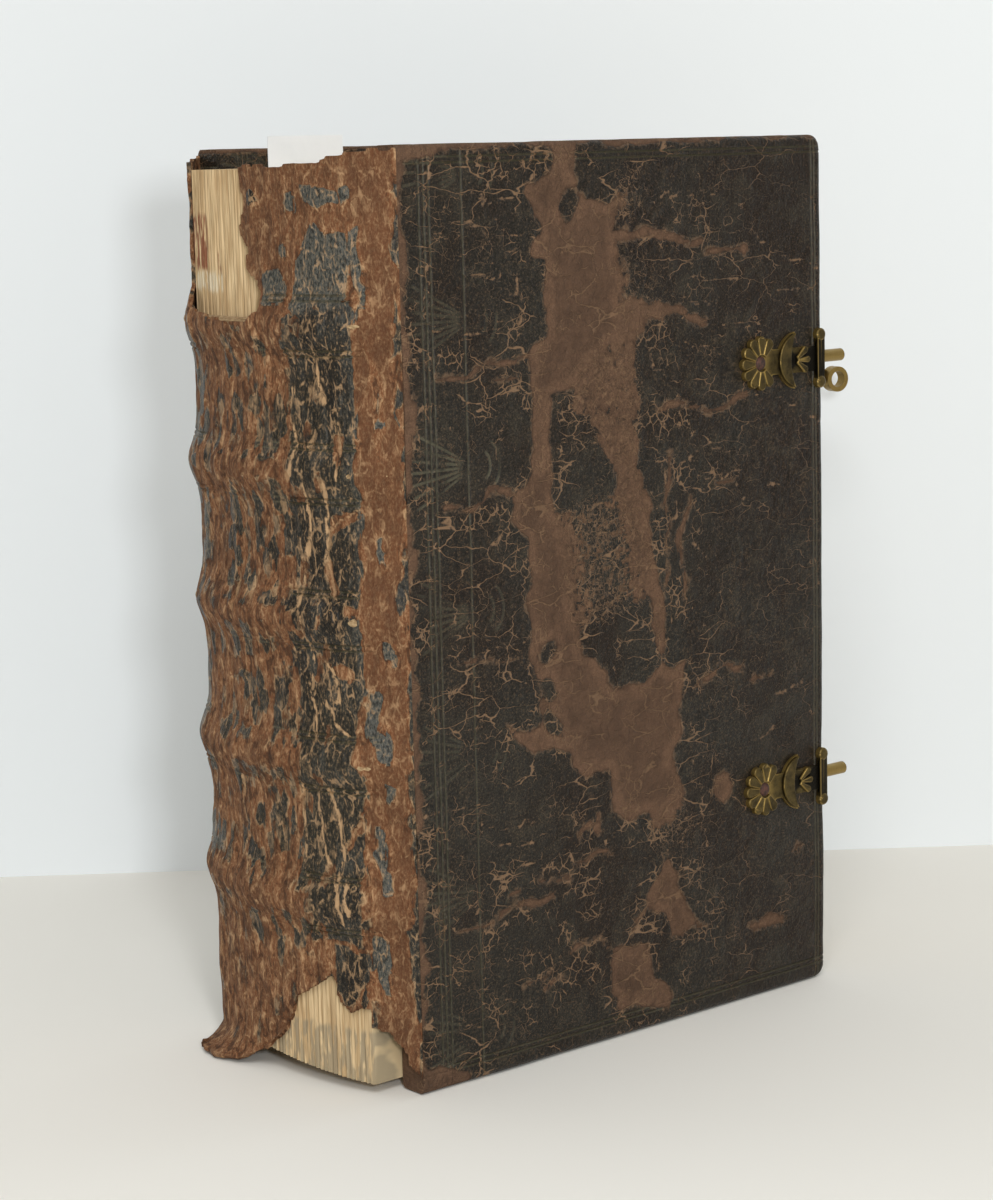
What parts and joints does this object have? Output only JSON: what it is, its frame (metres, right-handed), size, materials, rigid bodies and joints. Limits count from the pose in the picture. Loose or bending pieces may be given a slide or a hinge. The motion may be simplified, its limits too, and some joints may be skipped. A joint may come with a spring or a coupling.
{
  "type": "antique leather book",
  "caption": "Old clasped book in worn black-brown leather over wooden boards, with raised bands, torn spine ends, brass catch plates and a hinged hasp.",
  "frame": {"origin": "middle of the footprint of the whole book, hasp included, on the surface it stands on", "axes": "+Z from tail to head, +X from the spine to the fore edge, -Y the front cover"},
  "size_m": [0.1924, 0.067, 0.1822],
  "materials": {
    "paper": "matt rag paper, darkened at the edges",
    "white_paper": "matt white paper",
    "spine_leather": "rust-brown calf, perished, with black flakes left",
    "cover_leather": "black-brown calf, worn through to rust brown",
    "board_wood": "beech, darkened",
    "brass": "cast brass, tarnished",
    "iron_nail": "iron nail heads, rusted",
    "hemp_cord": "raised sewing cord"
  },
  "bodies": {
    "text_block": {"text_block": "paper", "spine_leather": "spine_leather", "paper_slip": "white_paper", "raised_cord_1": "hemp_cord", "raised_cord_2": "hemp_cord", "raised_cord_3": "hemp_cord", "raised_cord_4": "hemp_cord", "raised_cord_5": "hemp_cord"},
    "front_cover": {"front_board": "board_wood", "front_leather": "cover_leather", "front_pastedown": "paper", "upper_catch_plate": "brass", "upper_catch_peg": "brass", "upper_catch_nail": "iron_nail", "lower_catch_plate": "brass", "lower_catch_peg": "brass", "lower_catch_nail": "iron_nail"},
    "back_cover": {"back_board": "board_wood", "back_leather": "cover_leather", "back_pastedown": "paper", "upper_hinge_plate": "brass", "upper_hinge_nails": "iron_nail", "lower_hinge_plate": "brass", "lower_hinge_nails": "iron_nail", "upper_hinge_pin": "brass"},
    "hasp": {"upper_hasp": "brass"}
  },
  "joints": [
    {"name": "front_cover_hinge", "type": "hinge", "parent": "text_block", "child": "front_cover", "pos_m": [-0.08029, -0.0321, 0.09], "axis": [0, 0, 1], "range_deg": [-110, 0]},
    {"name": "back_cover_hinge", "type": "hinge", "parent": "text_block", "child": "back_cover", "pos_m": [-0.08029, 0.0319, 0.09], "axis": [0, 0, 1], "range_deg": [0, 110]},
    {"name": "upper_hasp_hinge", "type": "hinge", "parent": "back_cover", "child": "hasp", "pos_m": [0.03431, 0.0311, 0.13614], "axis": [0.2219, -0.0367, 0.9744], "range_deg": [-80.6, 95]}
  ]
}
